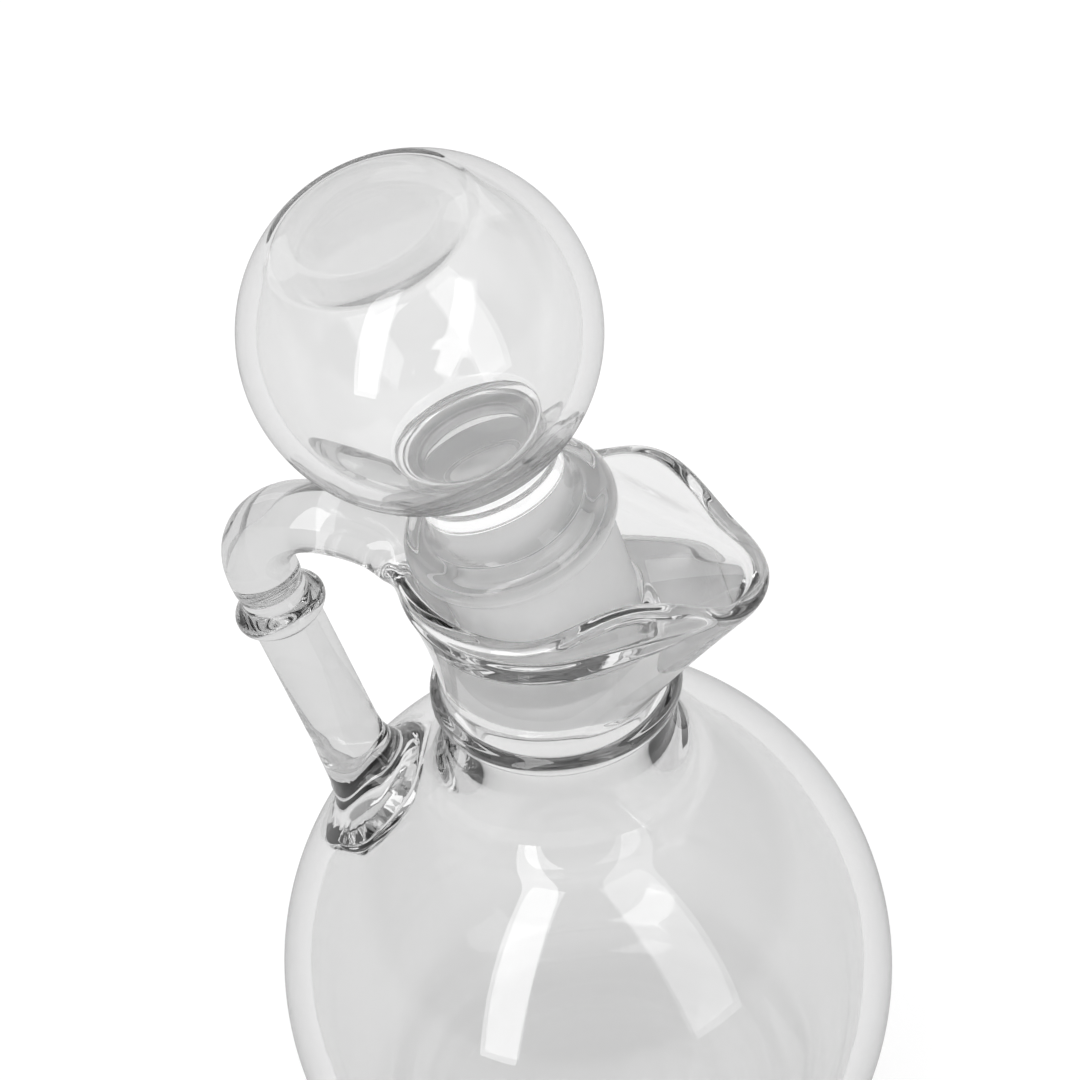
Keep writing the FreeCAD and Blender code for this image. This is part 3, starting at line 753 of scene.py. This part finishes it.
BALL, PLUG, COLLAR, BALL_INSIDE = range(4)      # materials of the stopper
GROUND_END = 0.15           # the grinding stops this far below the collar


def make_stopper():
    """The stopper at its place in the mouth, with its regions marked for their materials."""
    angle = np.linspace(-pi, pi, STOPPER_COLUMNS, endpoint=False)
    parts = []
    for profile in (stopper_outside(), stopper_hollow()):
        grid = lathed(profile, angle)
        parts.append(sheet_mesh("stopper", grid[:, thinned(grid)]))
    outside_faces = len(parts[0].polygons)
    bm = bmesh.new()
    for part in parts:
        bm.from_mesh(part)
        bpy.data.meshes.remove(part)
    for index, face in enumerate(bm.faces):
        level = face.calc_center_median().z / MM
        face.smooth = True
        if index >= outside_faces:
            face.material_index = BALL_INSIDE
        elif level < COLLAR_LOW - GROUND_END:
            face.material_index = PLUG
        elif level < WAIST_TOP:
            face.material_index = COLLAR
        else:
            face.material_index = BALL
    end_x, end_z = seat(math.radians(LEAN))
    bm.transform(Matrix.Rotation(math.radians(LEAN_HEADING), 4, "Z")
                 @ Matrix.Translation((end_x * MM, 0, end_z * MM))
                 @ Matrix.Rotation(math.radians(-LEAN), 4, "Y"))
    mesh = bpy.data.meshes.new("stopper_glass")
    bm.to_mesh(mesh)
    bm.free()
    stopper = bpy.data.objects.new("stopper_glass", mesh)
    bpy.context.scene.collection.objects.link(stopper)
    return stopper


# ---- materials ----------------------------------------------------------------------------------
def grey(level):
    return (level, level, level, 1)


# Tints colour what a surface lets through. The edge greys below are painted shade: a thin grey coat
# that darkens the glass more where it is seen at a slant, so that its outlines come out dark.
WALL_TINT = grey(0.97)
BELLY_INSIDE_TINT = grey(0.88)
BALL_INSIDE_TINT = grey(0.945)
ROD_TINT = grey(0.73)
NECK_TINT = grey(0.87)
THICK_TINT = grey(0.975)
WALL_EDGE_SHADE = grey(0.93)
THICK_EDGE_SHADE = grey(0.99)
ROD_EDGE_SHADE = grey(0.95)
GLASS_IOR, EDGE_SHADE_IOR = 1.52, 1.005


def link(tree, a, b):
    tree.links.new(a, b)


def base_material(name, edge_shade):
    """Glass with a thin grey coat that paints shade toward its outlines."""
    material = bpy.data.materials.new(name)
    material.use_nodes = True
    shader = material.node_tree.nodes["Principled BSDF"]
    shader.inputs["IOR"].default_value = GLASS_IOR
    shader.inputs["Transmission Weight"].default_value = 1.0
    # Painted shade: the grey coat barely bends light and darkens the glass toward its outlines.
    shader.inputs["Coat Weight"].default_value = 1.0
    shader.inputs["Coat Roughness"].default_value = 0.0
    shader.inputs["Coat IOR"].default_value = EDGE_SHADE_IOR
    shader.inputs["Coat Tint"].default_value = edge_shade
    return material, material.node_tree, shader


def add_noise(tree, vector, scale, detail):
    """Noise over the object; returns the node."""
    noise = tree.nodes.new("ShaderNodeTexNoise")
    noise.inputs["Scale"].default_value = scale
    noise.inputs["Detail"].default_value = detail
    link(tree, vector, noise.inputs["Vector"])
    return noise


def add_bump(tree, shader, height, strength, distance):
    bump = tree.nodes.new("ShaderNodeBump")
    bump.inputs["Strength"].default_value = strength
    bump.inputs["Distance"].default_value = distance * MM
    link(tree, height, bump.inputs["Height"])
    link(tree, bump.outputs["Normal"], shader.inputs["Normal"])


def clear_glass(name, tint, edge_shade, wave_size, wave_depth):
    """Clear pressed glass: smooth, with the faint waviness that a mould leaves."""
    material, tree, shader = base_material(name, edge_shade)
    shader.inputs["Base Color"].default_value = tint
    shader.inputs["Roughness"].default_value = 0.0
    place = tree.nodes.new("ShaderNodeTexCoord").outputs["Object"]
    wave = add_noise(tree, place, 1 / (wave_size * MM), 1.0)
    wave.inputs["Roughness"].default_value = 0.4
    add_bump(tree, shader, wave.outputs["Fac"], 1.0, wave_depth)
    return material


def ground_glass(name):
    """Ground glass: milky, with fine rings left by the grinding and small cloudy patches."""
    material, tree, shader = base_material(name, THICK_EDGE_SHADE)
    shader.inputs["Transmission Weight"].default_value = 0.6
    place = tree.nodes.new("ShaderNodeTexCoord").outputs["Object"]
    stretch = tree.nodes.new("ShaderNodeMapping")
    stretch.inputs["Scale"].default_value = (0.06, 0.06, 1)     # draws the rings out round the axis
    link(tree, place, stretch.inputs["Vector"])
    rings = add_noise(tree, stretch.outputs["Vector"], 900, 4)
    grain = add_noise(tree, place, 7000, 2)
    cloud = add_noise(tree, place, 260, 3)
    ramp = tree.nodes.new("ShaderNodeValToRGB")
    dull, milky = ramp.color_ramp.elements
    dull.position, dull.color = 0.3, grey(0.93)
    milky.position, milky.color = 0.7, grey(0.98)
    link(tree, cloud.outputs["Fac"], ramp.inputs["Fac"])
    link(tree, ramp.outputs["Color"], shader.inputs["Base Color"])
    rough = tree.nodes.new("ShaderNodeMapRange")
    rough.inputs["To Min"].default_value = 0.40
    rough.inputs["To Max"].default_value = 0.62
    link(tree, rings.outputs["Fac"], rough.inputs["Value"])
    link(tree, rough.outputs["Result"], shader.inputs["Roughness"])
    both = tree.nodes.new("ShaderNodeMath")
    both.operation = "ADD"
    link(tree, rings.outputs["Fac"], both.inputs[0])
    link(tree, grain.outputs["Fac"], both.inputs[1])
    add_bump(tree, shader, both.outputs["Value"], 0.6, 0.02)
    return material


# ---- making the object --------------------------------------------------------------------------
BELLY, NECK, HANDLE, BORE, BELLY_INSIDE = range(5)      # materials of the bottle
INNER_DEPTH = 1.0           # faces of the belly deeper than this are its inside
BORE_MARGIN, BORE_END = 0.3, 0.1    # the ground bore's faces: past its radius, short of its ends


def bottle_regions(places, join):
    """Material of each face of the bottle, by its middle."""
    from_axis, height = np.hypot(places[:, 0], places[:, 1]), places[:, 2]
    depth = -line_distance(np.stack([from_axis, height], 1), outer_profile())[0]
    regions = np.where(height > RING_HEIGHT - BEAD_RADIUS, NECK,
                       np.where(depth > INNER_DEPTH, BELLY_INSIDE, BELLY))
    side = np.flatnonzero((places[:, 0] < -ARM_ROOT_RADIUS) & (height > BELLY_HEIGHT))
    regions[side[join.rod(places[side]) < join.bottle(places[side])]] = HANDLE
    regions[(from_axis < BORE_TOP_RADIUS + BORE_MARGIN)
            & (height > RING_HEIGHT + BORE_BOTTOM + BORE_END)
            & (height < RING_HEIGHT + BORE_TOP - BORE_END)] = BORE
    return regions.astype(np.int32)


grid, fine_column = bottle_grid()
bottle = bpy.data.objects.new("bottle_glass", sheet_mesh("bottle_glass", grid))
bpy.context.scene.collection.objects.link(bottle)
join = add_handle(bottle, fine_column)
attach(bottle, "root")
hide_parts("bottle")
for glass in (clear_glass("belly_clear", WALL_TINT, WALL_EDGE_SHADE, 16, 0.05),
              clear_glass("neck_clear", NECK_TINT, THICK_EDGE_SHADE, 16, 0.05),
              clear_glass("handle_clear", ROD_TINT, ROD_EDGE_SHADE, 9, 0.03),
              ground_glass("bore_ground"),
              clear_glass("belly_inside", BELLY_INSIDE_TINT, THICK_EDGE_SHADE, 22, 0.18)):
    bottle.data.materials.append(glass)
middles = np.array([face.center for face in bottle.data.polygons]) / MM
bottle.data.polygons.foreach_set("material_index", bottle_regions(middles, join))

stopper = make_stopper()
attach(stopper, "root")
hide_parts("stopper")
for glass in (clear_glass("ball_clear", WALL_TINT, WALL_EDGE_SHADE, 14, 0.03),
              ground_glass("plug_ground"),
              clear_glass("collar_clear", THICK_TINT, THICK_EDGE_SHADE, 14, 0.03),
              clear_glass("ball_inside", BALL_INSIDE_TINT, THICK_EDGE_SHADE, 18, 0.08)):
    stopper.data.materials.append(glass)


# ---- camera, floor and light --------------------------------------------------------------------
CAMERA_TURN, CAMERA_PITCH, CAMERA_ROLL = 17, 44, -6.5      # degrees
CAMERA_OFFSET = (0, -0.3124, 0.3239)        # from the neck bead's middle, before the turn
CAMERA_LENS, CAMERA_SENSOR = 132.2, 36
LAMP_AIM = (0, 0, 0.07)
LAMPS = (                   # name, azimuth, elevations, distance, width, height, radiance
    ("strip_left", -108, 1, 72, 1.1, 0.30, 1.5, 4.2),
    ("strip_right", -29, 1, 72, 1.1, 0.44, 1.5, 1.9),
    ("strip_back", 78, 20, 60, 1.3, 0.70, 0.9, 0.8),
    ("strip_far", 150, 10, 50, 1.3, 0.40, 0.9, 1.0),
)
FLOOR_RADIUS, FLOOR_COLOUR, FLOOR_GLOW = 4, 0.25, 0.80
WORLD_LEVELS = (            # height of the direction, brightness of the studio there
    (0.0, 1.0), (0.05, 1.0), (0.14, 0.50), (0.55, 0.46), (0.80, 0.80), (1.0, 1.0),
)


def add_camera():
    """Camera above the spout's side that looks down on the mouth, rolled a little."""
    turn, pitch, roll = (math.radians(a) for a in (CAMERA_TURN, CAMERA_PITCH, CAMERA_ROLL))
    to_object = Matrix.Rotation(turn, 3, "Z")
    level_right = to_object @ Vector((1, 0, 0))
    level_up = to_object @ Vector((0, math.sin(pitch), math.cos(pitch)))
    right = math.cos(roll) * level_right + math.sin(roll) * level_up
    up = -math.sin(roll) * level_right + math.cos(roll) * level_up
    matrix = Matrix((right, up, right.cross(up))).transposed().to_4x4()
    matrix.translation = Vector((0, 0, RING_HEIGHT * MM)) + to_object @ Vector(CAMERA_OFFSET)
    data = bpy.data.cameras.new("camera")
    data.sensor_width = CAMERA_SENSOR
    data.lens = CAMERA_LENS
    data.clip_start = 0.01
    data.clip_end = 20
    camera = bpy.data.objects.new("camera", data)
    camera.matrix_world = matrix
    bpy.context.scene.collection.objects.link(camera)
    bpy.context.scene.camera = camera


def strip_light(name, azimuth, low, high, distance, width, height, radiance):
    """Upright softbox, aimed at the object.

    The azimuth is in degrees from +X, and low and high are the elevations between which it stands.
    """
    a = math.radians(azimuth)
    middle = math.radians((low + high) / 2)
    way = Vector((math.cos(a) * math.cos(middle), math.sin(a) * math.cos(middle), math.sin(middle)))
    data = bpy.data.lights.new(name, "AREA")
    data.shape = "RECTANGLE"
    data.size, data.size_y = width, height
    data.energy = radiance * pi * width * height
    light = bpy.data.objects.new(name, data)
    light.location = Vector(LAMP_AIM) + way * distance
    light.rotation_mode = "QUATERNION"
    light.rotation_quaternion = way.to_track_quat("Z", "Y")
    light.visible_camera = False
    bpy.context.scene.collection.objects.link(light)


def seen_ray(tree):
    """1 for rays from the camera, a mirror or through glass, 0 for light that falls on things."""
    path = tree.nodes.new("ShaderNodeLightPath")
    first = tree.nodes.new("ShaderNodeMath")
    first.operation = "MAXIMUM"
    second = tree.nodes.new("ShaderNodeMath")
    second.operation = "MAXIMUM"
    link(tree, path.outputs["Is Camera Ray"], first.inputs[0])
    link(tree, path.outputs["Is Glossy Ray"], first.inputs[1])
    link(tree, first.outputs["Value"], second.inputs[0])
    link(tree, path.outputs["Is Transmission Ray"], second.inputs[1])
    return second.outputs["Value"]


def make_floor():
    """White paper that keeps the object's shadow: grey under the lamps, glowing in what is seen."""
    bm = bmesh.new()
    bmesh.ops.create_circle(bm, cap_ends=True, segments=96, radius=FLOOR_RADIUS)
    mesh = bpy.data.meshes.new("floor")
    bm.to_mesh(mesh)
    bm.free()
    floor = bpy.data.objects.new("floor", mesh)
    bpy.context.scene.collection.objects.link(floor)
    material = bpy.data.materials.new("floor_paper")
    material.use_nodes = True
    tree = material.node_tree
    shader = tree.nodes["Principled BSDF"]
    shader.inputs["Base Color"].default_value = grey(FLOOR_COLOUR)
    shader.inputs["Roughness"].default_value = 0.9
    shader.inputs["Specular IOR Level"].default_value = 0.0
    glow = tree.nodes.new("ShaderNodeEmission")
    add = tree.nodes.new("ShaderNodeAddShader")
    level = tree.nodes.new("ShaderNodeMath")
    level.operation = "MULTIPLY"
    level.inputs[1].default_value = FLOOR_GLOW
    link(tree, seen_ray(tree), level.inputs[0])
    link(tree, level.outputs["Value"], glow.inputs["Strength"])
    link(tree, shader.outputs["BSDF"], add.inputs[0])
    link(tree, glow.outputs["Emission"], add.inputs[1])
    link(tree, add.outputs["Shader"], tree.nodes["Material Output"].inputs["Surface"])
    mesh.materials.append(material)


def make_world():
    """Studio that is white to the camera, and darker round its walls to mirrors and glass."""
    world = bpy.data.worlds.new("studio")
    bpy.context.scene.world = world
    world.use_nodes = True
    tree = world.node_tree
    back = tree.nodes["Background"]
    place = tree.nodes.new("ShaderNodeTexCoord")
    split = tree.nodes.new("ShaderNodeSeparateXYZ")
    link(tree, place.outputs["Generated"], split.inputs["Vector"])
    ramp = tree.nodes.new("ShaderNodeValToRGB")
    elements = ramp.color_ramp.elements
    while len(elements) < len(WORLD_LEVELS):
        elements.new(0.5)
    for element, (position, level) in zip(elements, WORLD_LEVELS):
        element.position = position
        element.color = grey(level)
    link(tree, split.outputs["Z"], ramp.inputs["Fac"])
    path = tree.nodes.new("ShaderNodeLightPath")
    mix = tree.nodes.new("ShaderNodeMix")
    mix.data_type = "RGBA"
    link(tree, path.outputs["Is Camera Ray"], mix.inputs["Factor"])
    colours = {socket.name: socket for socket in mix.inputs if socket.type == "RGBA"}
    colours["B"].default_value = grey(1)
    result = [socket for socket in mix.outputs if socket.type == "RGBA"][0]
    link(tree, ramp.outputs["Color"], colours["A"])
    link(tree, result, back.inputs["Color"])
    back.inputs["Strength"].default_value = 1.0


add_camera()
make_floor()
make_world()
for lamp in LAMPS:
    strip_light(*lamp)
paths = bpy.context.scene.cycles
paths.max_bounces, paths.glossy_bounces, paths.transmission_bounces = 24, 20, 24
paths.diffuse_bounces = 12
bpy.context.scene.view_settings.view_transform = "Standard"
